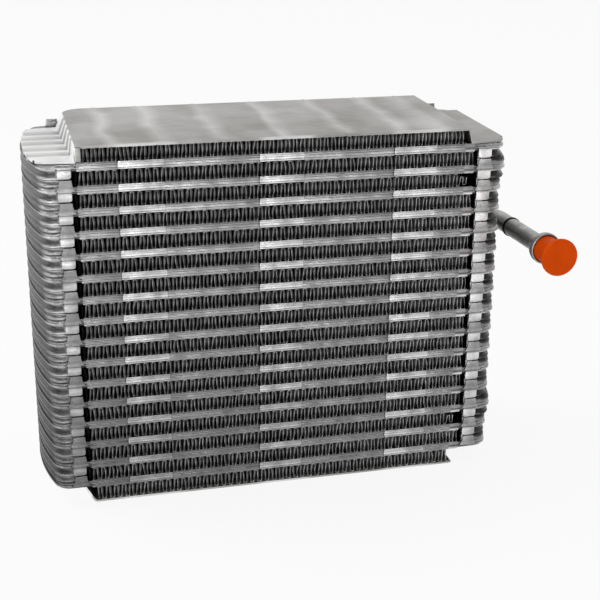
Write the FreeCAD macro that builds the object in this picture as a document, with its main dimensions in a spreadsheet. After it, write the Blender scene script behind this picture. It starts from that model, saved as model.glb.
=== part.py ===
"""Plate-fin evaporator core of a vehicle air conditioner, as a parametric document.

Sixteen flat tubes lie one above the other, each brazed from two stamped plates.
Drawn cups at both ends of the plates stack into a left and a right tank, folded
fin strips fill the gaps, and an end sheet closes the stack above and below.

Frame: X along the tubes, Y through the core from front to back, Z up.
The origin is the centre of the bottom sheet's underside. Lengths in millimetres.
"""

import FreeCAD, Part
import math
import os
import re
import Sketcher

SIZES = {
    # the stack
    "tube_count": 16, "pitch": 11.5, "tube_height": 4.1,
    # one stamped plate
    "left_reach": 125.7, "right_reach": 130.0, "plate_depth": 90.0, "plate_gauge": 0.5,
    "bow_radius": 135.0, "corner_radius": 8.5, "rim_width": 1.2, "long_rim": 1.6,
    "cup_inset": 3.2, "left_tank_run": 20.7, "right_tank_run": 22.5,
    # locating tabs bent from the rim
    "left_tab_run": 18.1, "right_tab_run": 20.5, "tab_width": 7.2, "tab_gap": 0.3,
    # fin strips, their folds drawn seven times as wide as the real ones
    "fin_room": 1.0, "outer_fin_length": 198.0, "short_fin_cut": 7.0,
    "fin_setback": 0.7, "fin_wave": 30.0, "fin_fold": 0.5,
    # end sheets
    "sheet_gauge": 1.0, "sheet_clearance": 0.3, "ramp_run": 5.5, "foot_depth": 75.0,
    "foot_recess": 0.6, "foot_corner": 5.5, "foot_taper": 9.0, "rib_count": 6,
    "rib_spacing": 11.8, "rib_width": 9.6, "rib_radius": 14.0, "rib_margin": 3.0,
    "leg_depth": 74.0, "leg_recess": 6.0, "lip_length": 2.0, "lip_angle": 30.0,
    # both pipes: a neck pushed through the right tank's bowed end and brazed there
    "pipe_diameter": 10.0, "pipe_wall": 1.0, "neck_length": 1.5, "neck_entry": 1.3,
    "bend_radius": 9.5, "bend_cuts": 6, "inlet_gap": 6, "inlet_run": 46.0, "inlet_splay": 3.0,
    "flare_length": 5.0, "bell_diameter": 17.0, "bell_wall": 1.3, "bell_length": 4.0,
    "outlet_gap": 12, "outlet_shift": 22.0, "outlet_entry": 5.0, "outlet_length": 18.0,
    # transit caps
    "cap_diameter": 20.0, "cap_thickness": 2.6, "plug_seat": 3.5, "plug_reach": 13.0,
    "outlet_cap_diameter": 15.0, "outlet_plug": 8.0,
}

LONG_RIM_TUBES = (2, 14)     # counted from the top, these two reach further right


def fill_sheet(document):
    """Writes the driving sizes into the spreadsheet, one alias a row."""
    sheet = document.addObject("Spreadsheet::Sheet", "Sizes")
    for row, (name, number) in enumerate(SIZES.items(), start=1):
        sheet.set(f"A{row}", name)
        sheet.set(f"B{row}", str(number))
        sheet.setAlias(f"B{row}", name)
    document.recompute()
    return sheet


doc = FreeCAD.newDocument("EvaporatorCore")
sizes = fill_sheet(doc)
built = []


def value(expression):
    """The number that an expression over the sheet's aliases gives now."""
    number = sizes.evalExpression(expression)
    return float(getattr(number, "Value", number))


def qualified(expression):
    """The same expression, as an object outside the sheet writes it."""
    return re.sub(r"\b(" + "|".join(SIZES) + r")\b", r"Sizes.\1", expression)


def bind(obj, **expressions):
    """Ties properties of an object to the sheet; a double underscore is a dot."""
    for prop, expression in expressions.items():
        obj.setExpression(prop.replace("__", "."), qualified(expression))


def new_body(label, **placement):
    body = doc.addObject("PartDesign::Body", label)
    body.Label = label
    bind(body, **placement)
    built.append(body)
    return body


def new_sketch(body, name, plane="XY_Plane", offset="0"):
    """A sketch on an origin plane of its own body, moved along the plane's normal."""
    sketch = body.newObject("Sketcher::SketchObject", name)
    origin = next(f for f in body.Origin.OriginFeatures if f.Role == plane)
    sketch.AttachmentSupport = (origin, [""])
    sketch.MapMode = "FlatFace"
    bind(sketch, AttachmentOffset__Base__z=offset)
    return sketch


def dimension(sketch, name, expression, kind, *where):
    """A dimension of a sketch, bound to the sheet."""
    index = sketch.addConstraint(Sketcher.Constraint(kind, *where, value(expression)))
    sketch.renameConstraint(index, name)
    bind(sketch, **{f"Constraints__{name}": expression})


def place(sketch, geometry, point, name, x, y):
    """Gives a point of a sketch two bound coordinates."""
    dimension(sketch, name + "X", x, "DistanceX", -1, 1, geometry, point)
    dimension(sketch, name + "Y", y, "DistanceY", -1, 1, geometry, point)


def polygon(sketch, corners, tag="Corner", closed=True):
    """An outline of straight lines through corners with bound coordinates."""
    first = sketch.GeometryCount
    spots = [FreeCAD.Vector(value(x), value(y), 0) for x, y in corners]
    ends = spots[1:] + spots[:1] if closed else spots[1:]
    sketch.addGeometry([Part.LineSegment(start, end)
                        for start, end in zip(spots, ends)], False)
    constraints, formulas = [], {}
    for i, (corner, spot) in enumerate(zip(corners, spots)):
        line, point = (first + i, 1) if i < len(ends) else (first + i - 1, 2)
        if closed or 0 < i < len(ends):
            constraints.append(Sketcher.Constraint(
                "Coincident", first + (i - 1) % len(ends), 2, line, 1))
        for letter, formula, number in zip("XY", corner, spot):
            tie = Sketcher.Constraint(f"Distance{letter}", -1, 1, line, point, number)
            tie.Name = f"{tag}{i}{letter}"
            constraints.append(tie)
            formulas[f"Constraints__{tie.Name}"] = formula
    sketch.addConstraint(constraints)
    bind(sketch, **formulas)


def circle(sketch, name, diameter, x="0", y="0"):
    """A circle with a bound centre and diameter."""
    centre = FreeCAD.Vector(value(x), value(y), 0)
    normal = FreeCAD.Vector(0, 0, 1)
    index = sketch.addGeometry(Part.Circle(centre, normal, value(diameter) / 2), False)
    place(sketch, index, 3, name, x, y)
    dimension(sketch, name + "Diameter", diameter, "Diameter", index)


def pad(body, sketch, name, length, reverse=False, both_ways=False):
    feature = body.newObject("PartDesign::Pad", name)
    feature.Profile = sketch
    feature.Reversed = reverse
    feature.SideType = "Symmetric" if both_ways else "One side"
    bind(feature, Length=length)
    return feature


def pocket(body, sketch, name, length, reverse=False, both_ways=False):
    feature = body.newObject("PartDesign::Pocket", name)
    feature.Profile = sketch
    feature.Reversed = reverse
    feature.SideType = "Symmetric" if both_ways else "One side"
    bind(feature, Length=length)
    return feature


def revolve(body, name, corners):
    """Turns an outline of (radius, height) corners about the body's Y axis."""
    sketch = new_sketch(body, name + "Outline")
    polygon(sketch, corners)
    feature = body.newObject("PartDesign::Revolution", name)
    feature.Profile = sketch
    feature.ReferenceAxis = (sketch, ["V_Axis"])
    feature.Angle = 360
    return feature


# Stamped plates

def plate_end(side, inset, tip, turns):
    """Corners of one plate end from its front edge round to its back edge.

    The end is bowed and has round corners. Turns says how far round each corner, from
    1 at the long edge to 0 at the bow, the corners of the outline lie.
    """
    drop, reach = "(plate_depth/2 - corner_radius)", "(bow_radius - corner_radius)"
    lean = f"asin({drop}/{reach})"
    corner = f"(corner_radius - {inset})"
    back = []
    for turn in turns:
        angle = f"({lean} + {turn}*(90deg - {lean}))"
        back.append((f"{side}*({tip} - bow_radius + sqrt({reach}^2 - {drop}^2)"
                     f" + {corner}*cos{angle})", f"{drop} + {corner}*sin{angle}"))
    middle = (f"{side}*({tip} - {inset})", "0")
    return [(x, f"-({y})") for x, y in back] + [middle] + back[::-1]


def plate_outline(body, name, inset, turns=(1, 0), right_tip="right_reach"):
    """The whole plate seen from above: two long edges and two bowed ends."""
    sketch = new_sketch(body, name)
    left = plate_end(-1, inset, "left_reach", turns)
    polygon(sketch, plate_end(1, inset, right_tip, turns) + left[::-1])
    return sketch


def cup_outlines(body, name, inset, turns, gauge="0"):
    """The two cups seen from above, each following the bowed end of the plate."""
    sketch = new_sketch(body, name)
    edge = f"(plate_depth/2 - {inset})"
    for side, tag in ((1, "right"), (-1, "left")):
        start = f"{side}*({tag}_reach - {tag}_tank_run + {gauge})"
        end = plate_end(side, inset, f"{tag}_reach", turns)
        polygon(sketch, [(start, f"-{edge}"), *end, (start, edge)], tag)
    return sketch


def add_tabs(body):
    """Four tabs bent up from the rim beside the tanks, two in front and two behind."""
    top = "(pitch/2 - tab_gap)"
    for side, name in ((1, "Front"), (-1, "Back")):
        sketch = new_sketch(body, name + "TabOutline", "XZ_Plane", f"{side}*plate_depth/2")
        for sign, tag in ((1, "right"), (-1, "left")):
            middle = f"{tag}_reach - {tag}_tab_run"
            polygon(sketch, [(f"{sign}*({middle} + {half}*tab_width)", z) for half, z in (
                (-0.5, "0"), (0.5, "0"), (0.5, top), (-0.5, top))], tag)
        pad(body, sketch, name + "Tabs", "plate_gauge", reverse=side > 0)


def seat_pipe(body, shift, entry):
    """Cuts a plate's bowed right end for a neck centred on the gap beside the plate."""
    sketch = new_sketch(body, "SeatCircle", "YZ_Plane",
                        f"right_reach - cup_inset - {entry}")
    circle(sketch, "Seat", "pipe_diameter", shift, "pitch/2")
    pocket(body, sketch, "Seat", f"{entry} + cup_inset + long_rim", True)


def plate_form(tube, upper):
    """What sets a plate apart: closed, long at the right, or seated for a pipe."""
    gap = tube if upper else tube + 1
    if gap in (1, int(SIZES["tube_count"]) + 1):
        return "closed"
    if gap == int(SIZES["inlet_gap"]):
        return "inlet"
    if gap == int(SIZES["outlet_gap"]):
        return "outlet_upper" if upper else "outlet_lower"
    return "long" if tube in LONG_RIM_TUBES else "plain"


def stamp_plate(body, form):
    """The features of one plate, lying face up with its seam at zero."""
    tip = "(right_reach + long_rim)" if form == "long" else "right_reach"
    pad(body, plate_outline(body, "RimOutline", "0", (1, 0.5, 0), tip), "Rim", "plate_gauge")
    pad(body, plate_outline(body, "PanOutline", "rim_width"), "Pan", "tube_height/2")
    if form != "closed":
        cups = cup_outlines(body, "CupOutlines", "cup_inset", (1, 0))
        pad(body, cups, "Cups", "pitch/2")
    add_tabs(body)
    hollow = plate_outline(body, "HollowOutline", "(rim_width + plate_gauge)")
    pocket(body, hollow, "Hollow", "tube_height/2 - plate_gauge", reverse=True)
    if form != "closed":
        mouths = cup_outlines(body, "CupMouths", "(cup_inset + plate_gauge)", (0,),
                              "plate_gauge")
        pocket(body, mouths, "Mouths", "pitch/2", reverse=True)
    if form == "inlet":
        seat_pipe(body, "0", "neck_entry")
    if form == "outlet_upper":
        seat_pipe(body, "outlet_shift", "outlet_entry")
    if form == "outlet_lower":
        seat_pipe(body, "-outlet_shift", "outlet_entry")


def make_plate(label, tube, upper, masters):
    """One plate in its place. The first of each form is built, the rest copy it."""
    body = new_body(label)
    if not upper:
        body.Placement = FreeCAD.Placement(
            FreeCAD.Vector(), FreeCAD.Rotation(FreeCAD.Vector(1, 0, 0), 180))
    bind(body, Placement__Base__z=(
        f"sheet_gauge + (tube_count + 1 - {tube})*pitch - tube_height/2"))
    form = plate_form(tube, upper)
    if form in masters:
        copy = body.newObject("PartDesign::FeatureBase", "Copy")
        copy.BaseFeature = masters[form]
        body.Tip = copy
    else:
        stamp_plate(body, form)
        masters[form] = body
    return body


# Fin strips

def make_fin(label, number):
    """A folded strip: one wave of the fold, padded through the core and repeated."""
    last = int(SIZES["tube_count"]) + 1
    if number in (1, last):
        start, length = "-outer_fin_length/2", "outer_fin_length"
    else:
        start = "-(left_reach - left_tank_run - fin_room)"
        length = f"(right_reach - right_tank_run - fin_room - {start})"
    if number - 1 in LONG_RIM_TUBES:
        length = f"({length} - short_fin_cut)"
    waves = max(2, round(value(length) / value("fin_wave")))
    wave = f"{length}/{waves}"
    height = "(pitch - tube_height)"
    body = new_body(label, Placement__Base__x=start,
                    Placement__Base__z=f"sheet_gauge + (tube_count + 1 - {number})*pitch")
    sketch = new_sketch(body, "WaveOutline", "XZ_Plane")
    polygon(sketch, [("0", "0"), (f"{wave}/2", f"{height} - fin_fold"), (wave, "0"),
                     (wave, "fin_fold"), (f"{wave}/2", height), ("0", "fin_fold")])
    first = pad(body, sketch, "Wave", "plate_depth - 2*fin_setback", both_ways=True)
    repeat = body.newObject("PartDesign::LinearPattern", "Waves")
    repeat.Originals = [first]
    repeat.Direction = (sketch, ["H_Axis"])
    repeat.Occurrences = waves
    bind(repeat, Length=f"{wave}*{waves - 1}")
    body.Tip = repeat
    return body


# End sheets

FIN_HEIGHT = "(pitch - tube_height)"
FOLD_SHIFT = f"sheet_gauge*tan(atan({FIN_HEIGHT}/ramp_run)/2)"
CREST = "(outer_fin_length/2 + sheet_clearance)"
FOOT_TIP = "(left_reach - foot_recess)"


def trim_feet(body, sides, depth):
    """Narrows the sheet to its feet, from the ramps outwards, with cut corners."""
    sketch = new_sketch(body, "FootTrim")
    clear = "left_reach + 1"
    edge = "plate_depth/2 + 1"
    for sx in sides:
        for sy in (1, -1):
            polygon(sketch, [(f"{sx}*({x})", f"{sy}*({y})") for x, y in (
                (CREST, edge), (CREST, "plate_depth/2"),
                (f"{CREST} + foot_taper", f"{depth}/2"),
                (f"{FOOT_TIP} - foot_corner", f"{depth}/2"),
                (FOOT_TIP, f"{depth}/2 - foot_corner"),
                (clear, f"{depth}/2 - foot_corner"), (clear, edge))],
                    f"{'R' if sx > 0 else 'L'}{'B' if sy > 0 else 'F'}")
    pocket(body, sketch, "Feet", "4*pitch", both_ways=True)


def make_top_sheet():
    """Flat over the top fin strip, with ramps down to a foot on each tank."""
    body = new_body("top_end_sheet", Placement__Base__z=(
        "sheet_gauge + (tube_count + 1)*pitch - tube_height"))
    profile = new_sketch(body, "Profile", "XZ_Plane")
    half = [(CREST, "0"), (f"{CREST} + ramp_run", f"-{FIN_HEIGHT}"),
            (FOOT_TIP, f"-{FIN_HEIGHT}"), (FOOT_TIP, f"sheet_gauge - {FIN_HEIGHT}"),
            (f"{CREST} + ramp_run + {FOLD_SHIFT}", f"sheet_gauge - {FIN_HEIGHT}"),
            (f"{CREST} + {FOLD_SHIFT}", "sheet_gauge")]
    polygon(profile, half + [(f"-({x})", z) for x, z in reversed(half)])
    pad(body, profile, "Sheet", "plate_depth", both_ways=True)
    trim_feet(body, (1, -1), "foot_depth")
    return add_ribs(body)


def add_ribs(body):
    """Low round ribs side by side along the left foot."""
    sketch = new_sketch(body, "RibSection", "YZ_Plane", f"rib_margin - {FOOT_TIP}")
    middle = "-rib_spacing*(rib_count - 1)/2"
    seat = f"(sheet_gauge - {FIN_HEIGHT})"
    sunk = f"({seat} - sqrt(rib_radius^2 - rib_width^2/4))"
    centre = FreeCAD.Vector(value(middle), value(sunk), 0)
    lean = math.asin(value("rib_width/2/rib_radius"))
    ring = Part.Circle(centre, FreeCAD.Vector(0, 0, 1), value("rib_radius"))
    arc = Part.ArcOfCircle(ring, math.pi / 2 - lean, math.pi / 2 + lean)
    sketch.addGeometry([arc, Part.LineSegment(arc.EndPoint, arc.StartPoint)], False)
    sketch.addConstraint(Sketcher.Constraint("Coincident", 0, 2, 1, 1))
    sketch.addConstraint(Sketcher.Constraint("Coincident", 1, 2, 0, 1))
    sketch.addConstraint(Sketcher.Constraint("Horizontal", 1))
    place(sketch, 0, 3, "RibCentre", middle, sunk)
    dimension(sketch, "RibRadius", "rib_radius", "Radius", 0)
    dimension(sketch, "RibSeat", seat, "DistanceY", -1, 1, 1, 1)
    first = pad(body, sketch, "Rib",
                f"{FOOT_TIP} - rib_margin - {CREST} - ramp_run - {FOLD_SHIFT}")
    repeat = body.newObject("PartDesign::LinearPattern", "Ribs")
    repeat.Originals = [first]
    repeat.Direction = (sketch, ["H_Axis"])
    bind(repeat, Length="rib_spacing*(rib_count - 1)", Occurrences="rib_count")
    body.Tip = repeat
    return body


def make_bottom_sheet():
    """Flat under the bottom fin strip, a leg up to the left tank, a lip at the right."""
    body = new_body("bottom_end_sheet")
    profile = new_sketch(body, "Profile", "XZ_Plane")
    polygon(profile, [
        (f"{CREST}", "sheet_gauge"),
        (f"{CREST} + lip_length*cos(lip_angle)", "sheet_gauge + lip_length*sin(lip_angle)"),
        (f"{CREST} + lip_length*cos(lip_angle) + sheet_gauge*sin(lip_angle)",
         "sheet_gauge + lip_length*sin(lip_angle) - sheet_gauge*cos(lip_angle)"),
        (f"{CREST} + sheet_gauge*tan(lip_angle/2)", "0"),
        (f"-({CREST} + {FOLD_SHIFT})", "0"),
        (f"-({CREST} + ramp_run + {FOLD_SHIFT})", FIN_HEIGHT),
        (f"-({FOOT_TIP} - leg_recess)", FIN_HEIGHT),
        (f"-({FOOT_TIP} - leg_recess)", f"sheet_gauge + {FIN_HEIGHT}"),
        (f"-({CREST} + ramp_run)", f"sheet_gauge + {FIN_HEIGHT}"),
        (f"-{CREST}", "sheet_gauge")])
    pad(body, profile, "Sheet", "plate_depth", both_ways=True)
    trim_feet(body, (-1,), "leg_depth")
    return body


# Pipes and transit caps

def gap_level(gap):
    return f"sheet_gauge + (tube_count + 1 - {gap})*pitch + {FIN_HEIGHT}/2"


def on_inlet_axis(body, along="0"):
    """Places a body on the inlet's straight run, its Y axis back towards the tank.

    Zero is the start of the flare, and along is a distance from there to the tank.
    """
    x = ("right_reach - cup_inset + neck_length + bend_radius*cos(inlet_splay)"
         f" + (inlet_run - ({along}))*sin(inlet_splay)")
    y = (f"-bend_radius*(1 - sin(inlet_splay)) - (inlet_run - ({along}))*cos(inlet_splay)")
    body.Placement.Rotation = FreeCAD.Rotation(FreeCAD.Vector(0, 0, 1), SIZES["inlet_splay"])
    bind(body, Placement__Base__x=x, Placement__Base__y=y,
         Placement__Base__z=gap_level("inlet_gap"), Placement__Rotation__Angle="inlet_splay")


def on_outlet_axis(body, along="0"):
    """Places a body on the outlet's axis, its Y axis out of the tank."""
    body.Placement.Rotation = FreeCAD.Rotation(FreeCAD.Vector(0, 0, 1), -90)
    bind(body, Placement__Base__x=f"right_reach - cup_inset - outlet_entry + {along}",
         Placement__Base__y="outlet_shift", Placement__Base__z=gap_level("outlet_gap"))


def make_inlet_pipe():
    """From the right tank's end, round a bend and forward to a belled mouth."""
    body = new_body("inlet_pipe")
    on_inlet_axis(body)
    outer, bore = "pipe_diameter/2", "(pipe_diameter/2 - pipe_wall)"
    revolve(body, "Run", [
        (bore, "inlet_run"), (bore, "-flare_length"),
        ("bell_diameter/2 - bell_wall", "-flare_length"),
        ("bell_diameter/2 - bell_wall", "-flare_length - bell_length"),
        ("bell_diameter/2", "-flare_length - bell_length"),
        ("bell_diameter/2", "-flare_length"), (outer, "0"), (outer, "inlet_run")])

    # the bend in short straight lengths that touch its true arc, then the neck
    step = "(90 - inlet_splay)/bend_cuts"
    count = int(SIZES["bend_cuts"])
    path = new_sketch(body, "Path")
    legs = [("0", "inlet_run")]
    for i in range(count):
        legs.append((f"-bend_radius + bend_radius/cos({step}/2)*cos({step}*{i + 0.5})",
                     f"inlet_run + bend_radius/cos({step}/2)*sin({step}*{i + 0.5})"))
    reach = "(neck_length + neck_entry/cos(inlet_splay))"
    legs.append((f"-bend_radius + bend_radius*sin(inlet_splay) - {reach}*cos(inlet_splay)",
                 f"inlet_run + bend_radius*cos(inlet_splay) + {reach}*sin(inlet_splay)"))
    polygon(path, legs, closed=False)

    # its bore is square, where nothing sees it, with the corners on the round one
    section = new_sketch(body, "BendSection", "XZ_Plane", "-inlet_run")
    circle(section, "Bend", "pipe_diameter")
    half = f"{bore}*sqrt(0.5)"
    polygon(section, [(f"{sx}*{half}", f"{sy}*{half}")
                      for sx, sy in ((-1, -1), (1, -1), (1, 1), (-1, 1))])
    bend = body.newObject("PartDesign::AdditivePipe", "Bend")
    bend.Profile = section
    bend.Spine = (path, [f"Edge{i + 1}" for i in range(count + 1)])
    bend.Transition = "Right corner"
    return body


def make_outlet_pipe():
    """A short straight stub out of the right tank's end, behind the middle."""
    body = new_body("outlet_pipe")
    on_outlet_axis(body)
    outer, bore = "pipe_diameter/2", "(pipe_diameter/2 - pipe_wall)"
    revolve(body, "Pipe", [(bore, "0"), (outer, "0"), (outer, "outlet_length"),
                           (bore, "outlet_length")])
    return body


def make_cap(label, plug, tail, head, reach):
    """Push-in transit cap: a plug in the mouth and a wider head in front of it."""
    body = new_body(label)
    revolve(body, "Cap", [("0", tail), (plug, tail), (plug, reach), (head, reach),
                          (head, f"{reach} - cap_thickness"), ("0", f"{reach} - cap_thickness")])
    return body


def make_all():
    tubes, masters = int(SIZES["tube_count"]), {}
    for tube in range(1, tubes + 1):
        make_plate(f"upper_plate_{tube:02d}", tube, True, masters)
        make_plate(f"lower_plate_{tube:02d}", tube, False, masters)
    for number in range(1, tubes + 2):
        make_fin(f"fin_strip_{number:02d}", number)
    make_top_sheet()
    make_bottom_sheet()
    make_inlet_pipe()
    make_outlet_pipe()
    inlet_cap = make_cap("inlet_cap", "(bell_diameter/2 - bell_wall)", "plug_seat",
                         "cap_diameter/2", "-plug_reach")
    on_inlet_axis(inlet_cap, "-flare_length - bell_length")
    outlet_cap = make_cap("outlet_cap", "(pipe_diameter/2 - pipe_wall)", "outlet_plug",
                          "outlet_cap_diameter/2", "0")
    on_outlet_axis(outlet_cap, "outlet_length")
    outlet_cap.Placement.Rotation = FreeCAD.Rotation(FreeCAD.Vector(0, 0, 1), 90)


make_all()
doc.recompute()

faulty = [o.Name for o in doc.Objects if {"Invalid", "Error"} & set(o.State)]
for body in built:
    shape = body.Shape
    if shape.isNull() or not shape.isValid() or len(shape.Solids) != 1:
        faulty.append(body.Label)
if faulty:
    raise RuntimeError(f"not built: {faulty}")

os.makedirs("parts", exist_ok=True)
for body in built:
    body.Shape.exportStep(f"parts/{body.Label}.step")
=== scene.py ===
import math

import bmesh
import bpy
from mathutils import Matrix, Vector


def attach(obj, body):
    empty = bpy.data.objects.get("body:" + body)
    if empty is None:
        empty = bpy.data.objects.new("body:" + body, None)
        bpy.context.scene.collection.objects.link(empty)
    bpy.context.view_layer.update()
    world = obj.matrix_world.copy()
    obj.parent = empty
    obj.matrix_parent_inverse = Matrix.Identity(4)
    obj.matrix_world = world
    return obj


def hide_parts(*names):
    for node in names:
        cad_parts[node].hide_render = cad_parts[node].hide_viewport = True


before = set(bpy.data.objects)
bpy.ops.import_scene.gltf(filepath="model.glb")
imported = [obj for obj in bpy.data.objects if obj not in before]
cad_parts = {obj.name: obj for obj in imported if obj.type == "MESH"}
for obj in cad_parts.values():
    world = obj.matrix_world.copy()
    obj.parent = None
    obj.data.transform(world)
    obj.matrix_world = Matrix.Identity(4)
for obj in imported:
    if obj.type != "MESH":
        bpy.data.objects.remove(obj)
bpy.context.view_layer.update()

# Camera: the photograph's view of the core, from the front, a little left and above.
# The lens and the place were fitted on the corners of the sheets, tabs and cap.
lens = bpy.data.cameras.new("camera")
lens.lens, lens.sensor_width = 76.58, 36.0
camera = bpy.data.objects.new("camera", lens)
bpy.context.scene.collection.objects.link(camera)
camera_place = Vector((-0.144217, -0.654552, 0.337806))
camera_aim = Vector((0.023045, 0.0, 0.088828))
camera_roll = Matrix.Rotation(math.radians(0.6455), 4, "Z").to_quaternion()
camera.location = camera_place
camera.rotation_euler = ((camera_aim - camera_place).to_track_quat("-Z", "Y")
                         @ camera_roll).to_euler()
bpy.context.scene.camera = camera

# Tube plates: 16 flat tubes, each two stamped half shells of bare aluminium clad sheet.
# A shell has a flat rim, a drawn channel, a drawn cup at each bowed end that meets the
# next tube's cup, two tabs at each end of its long edges, and three crimped lands.
mm = 0.001
tube_count, tube_pitch, tube_height = 16, 11.5, 4.1
plate_gauge, end_gauge = 0.5, 1.0
left_reach, plain_reach, long_reach, square_cut = 125.7, 128.8, 130.4, 125.4
long_rim_tubes = (2, 14)
bow_radius, corner_radius, half_depth = 135.0, 8.5, 45.0
corner_y = half_depth - corner_radius
corner_x = math.sqrt((bow_radius - corner_radius) ** 2 - corner_y ** 2)
bow_turn = math.degrees(math.asin(corner_y / (bow_radius - corner_radius)))
rim_width = 1.2
channel_wall = [(0.35, 1.25), (0.45, 0.3)]


def select_only(piece):
    bpy.ops.object.select_all(action="DESELECT")
    piece.select_set(True)
    bpy.context.view_layer.objects.active = piece


def open_piece(piece):
    """Opens one piece for editing, with nothing else selected."""
    select_only(piece)
    bpy.ops.object.mode_set(mode="EDIT")


def close_piece():
    bpy.ops.object.mode_set(mode="OBJECT")


def pick(kind, test):
    """Selects the corners, edges or faces of the open piece that pass the test."""
    bpy.ops.mesh.select_mode(type=kind)
    bpy.ops.mesh.select_all(action="DESELECT")
    mesh = bmesh.from_edit_mesh(bpy.context.object.data)
    for item in {"VERT": mesh.verts, "EDGE": mesh.edges, "FACE": mesh.faces}[kind]:
        if test(item):
            item.select_set(True)
    mesh.select_flush_mode()
    bmesh.update_edit_mesh(bpy.context.object.data)


def start_at(name, x, y, z):
    """A new piece, open for editing, that is one corner to draw a line from."""
    bpy.ops.object.select_all(action="DESELECT")
    bpy.ops.mesh.primitive_plane_add(size=0.001)
    piece = bpy.context.object
    piece.name = piece.data.name = name
    open_piece(piece)
    bpy.ops.mesh.select_all(action="SELECT")
    bpy.ops.mesh.merge(type="COLLAPSE")
    bpy.ops.transform.translate(value=(x * mm, y * mm, z * mm))
    return piece


def draw_on(x=0.0, y=0.0, z=0.0):
    """Extrudes what is selected and moves it."""
    bpy.ops.mesh.extrude_region_move(
        TRANSFORM_OT_translate={"value": (x * mm, y * mm, z * mm)})


def stretch(x=1.0, y=1.0, z=1.0, about=(0.0, 0.0, 0.0)):
    bpy.ops.transform.resize(value=(x, y, z), center_override=[c * mm for c in about])


def turn_arc(steps, degrees, x, y):
    """Draws the selected corner on round an upright axis at x, y."""
    bpy.ops.mesh.spin(steps=steps, angle=math.radians(-degrees), dupli=False,
                      center=(x * mm, y * mm, 0.0), axis=(0.0, 0.0, 1.0))


def use_modifier(piece, kind, **settings):
    modifier = piece.modifiers.new(kind.lower(), kind)
    for name, value in settings.items():
        setattr(modifier, name, value)
    select_only(piece)
    bpy.ops.object.modifier_apply(modifier=modifier.name)


def smooth(piece, degrees=35):
    select_only(piece)
    bpy.ops.object.shade_smooth_by_angle(angle=math.radians(degrees))


def plate_blank(name, right_reach):
    """The flat blank: two straight edges, rounded corners and bowed ends."""
    piece = start_at(name, -left_reach, 0, 0)
    left, right = bow_radius - left_reach, right_reach - bow_radius
    turn_arc(9, bow_turn, left, 0)
    turn_arc(7, 90 - bow_turn, left - corner_x, -corner_y)
    draw_on(x=(right + corner_x) - (left - corner_x))
    turn_arc(7, 90 - bow_turn, right + corner_x, -corner_y)
    turn_arc(9, bow_turn, right, 0)
    bpy.ops.mesh.select_all(action="SELECT")
    bpy.ops.mesh.duplicate_move()
    stretch(y=-1)
    bpy.ops.mesh.select_all(action="SELECT")
    bpy.ops.mesh.remove_doubles(threshold=0.02 * mm)
    bpy.ops.mesh.edge_face_add()
    bpy.ops.mesh.flip_normals()
    return piece


# rise and growth of each step of a cup's wall, from the channel's top
upper_cup_left = [(0.4, 0.6), (0.6, 0.6), (0.5, 0.0), (0.5, -0.5), (0.5, -0.4), (1.2, 0.9)]
upper_cup_right = [(0.5, 0.7), (0.7, 0.4), (0.9, 0.1), (0.9, -0.3), (0.7, -0.7)]
lower_cup_left = [(0.6, -0.1), (1.0, 0.9), (0.7, 0.2), (0.4, -0.2), (0.6, 0.6), (0.4, 0.1)]
lower_cup_right = [(0.3, -3.0), (0.7, 1.1), (0.8, 1.1), (0.8, 1.1), (0.7, 1.0), (0.4, -0.2)]
left_cup_x, right_cup_x = -105.0, 107.5
cup_run, cup_half_depth, mouth_ledge = 17.5, 41.0, 2.5


def on_channel(face):
    return face.normal.z > 0.9 and face.calc_center_median().z > 1.5 * mm


def draw_cup(side, steps):
    """Draws the channel's end up in steps, then opens the cup's mouth."""
    wall_x = left_cup_x if side < 0 else right_cup_x
    pick("FACE", lambda f: on_channel(f) and
         side * (f.calc_center_median().x - wall_x * mm) > 0)
    for rise, grow in steps:
        draw_on(z=rise)
        stretch(x=1 + grow / cup_run, y=1 + 0.5 * grow / cup_half_depth, about=(wall_x, 0, 0))
    bpy.ops.mesh.inset(thickness=mouth_ledge * mm)
    bpy.ops.mesh.delete(type="FACE")


# where strips stand on the long rims, from left to right
upper_tabs, lower_tabs = [(-111.0, -102.2), (106.3, 115.8)], [(-110.4, -103.7), (107.2, 114.4)]
crimped_lands = [(-81, -58), (-10, 13), (61, 84)]
ledges = [(-101.0, -81), (-58, -10), (13, 61), (84, 105.0)]
on_edge = half_depth - 0.1


def add_edge_strip(left, right, rises, widths, rounding=0.0, setback=0.0, back_only=False):
    """Turns part of the long rims up, or of the back one only: a tab, land or ledge."""
    pick("EDGE", lambda e: all(abs(v.co.y) > on_edge * mm and v.co.z < 0.05 * mm
                               and (v.co.y > 0 or not back_only)
                               and left - 0.05 < v.co.x / mm < right + 0.05
                               for v in e.verts) and len(e.link_faces) == 1)
    middle = (left + right) / 2
    if setback:
        bpy.ops.mesh.extrude_edges_move(TRANSFORM_OT_translate={"value": (0, 0, 0.05 * mm)})
        stretch(y=1 - setback / half_depth)
    for rise, width in zip(rises, widths):
        bpy.ops.mesh.extrude_edges_move(TRANSFORM_OT_translate={"value": (0, 0, rise * mm)})
        stretch(x=width, about=(middle, 0, 0))
    top = sum(rises)
    if rounding:
        pick("VERT", lambda v: abs(v.co.y) > (on_edge - setback) * mm
             and (v.co.y > 0 or not back_only)
             and v.co.z > (top - 0.05) * mm and left - 3 < v.co.x / mm < right + 3)
        bpy.ops.mesh.bevel(offset=rounding * mm, segments=3, affect="VERTICES")


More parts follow.
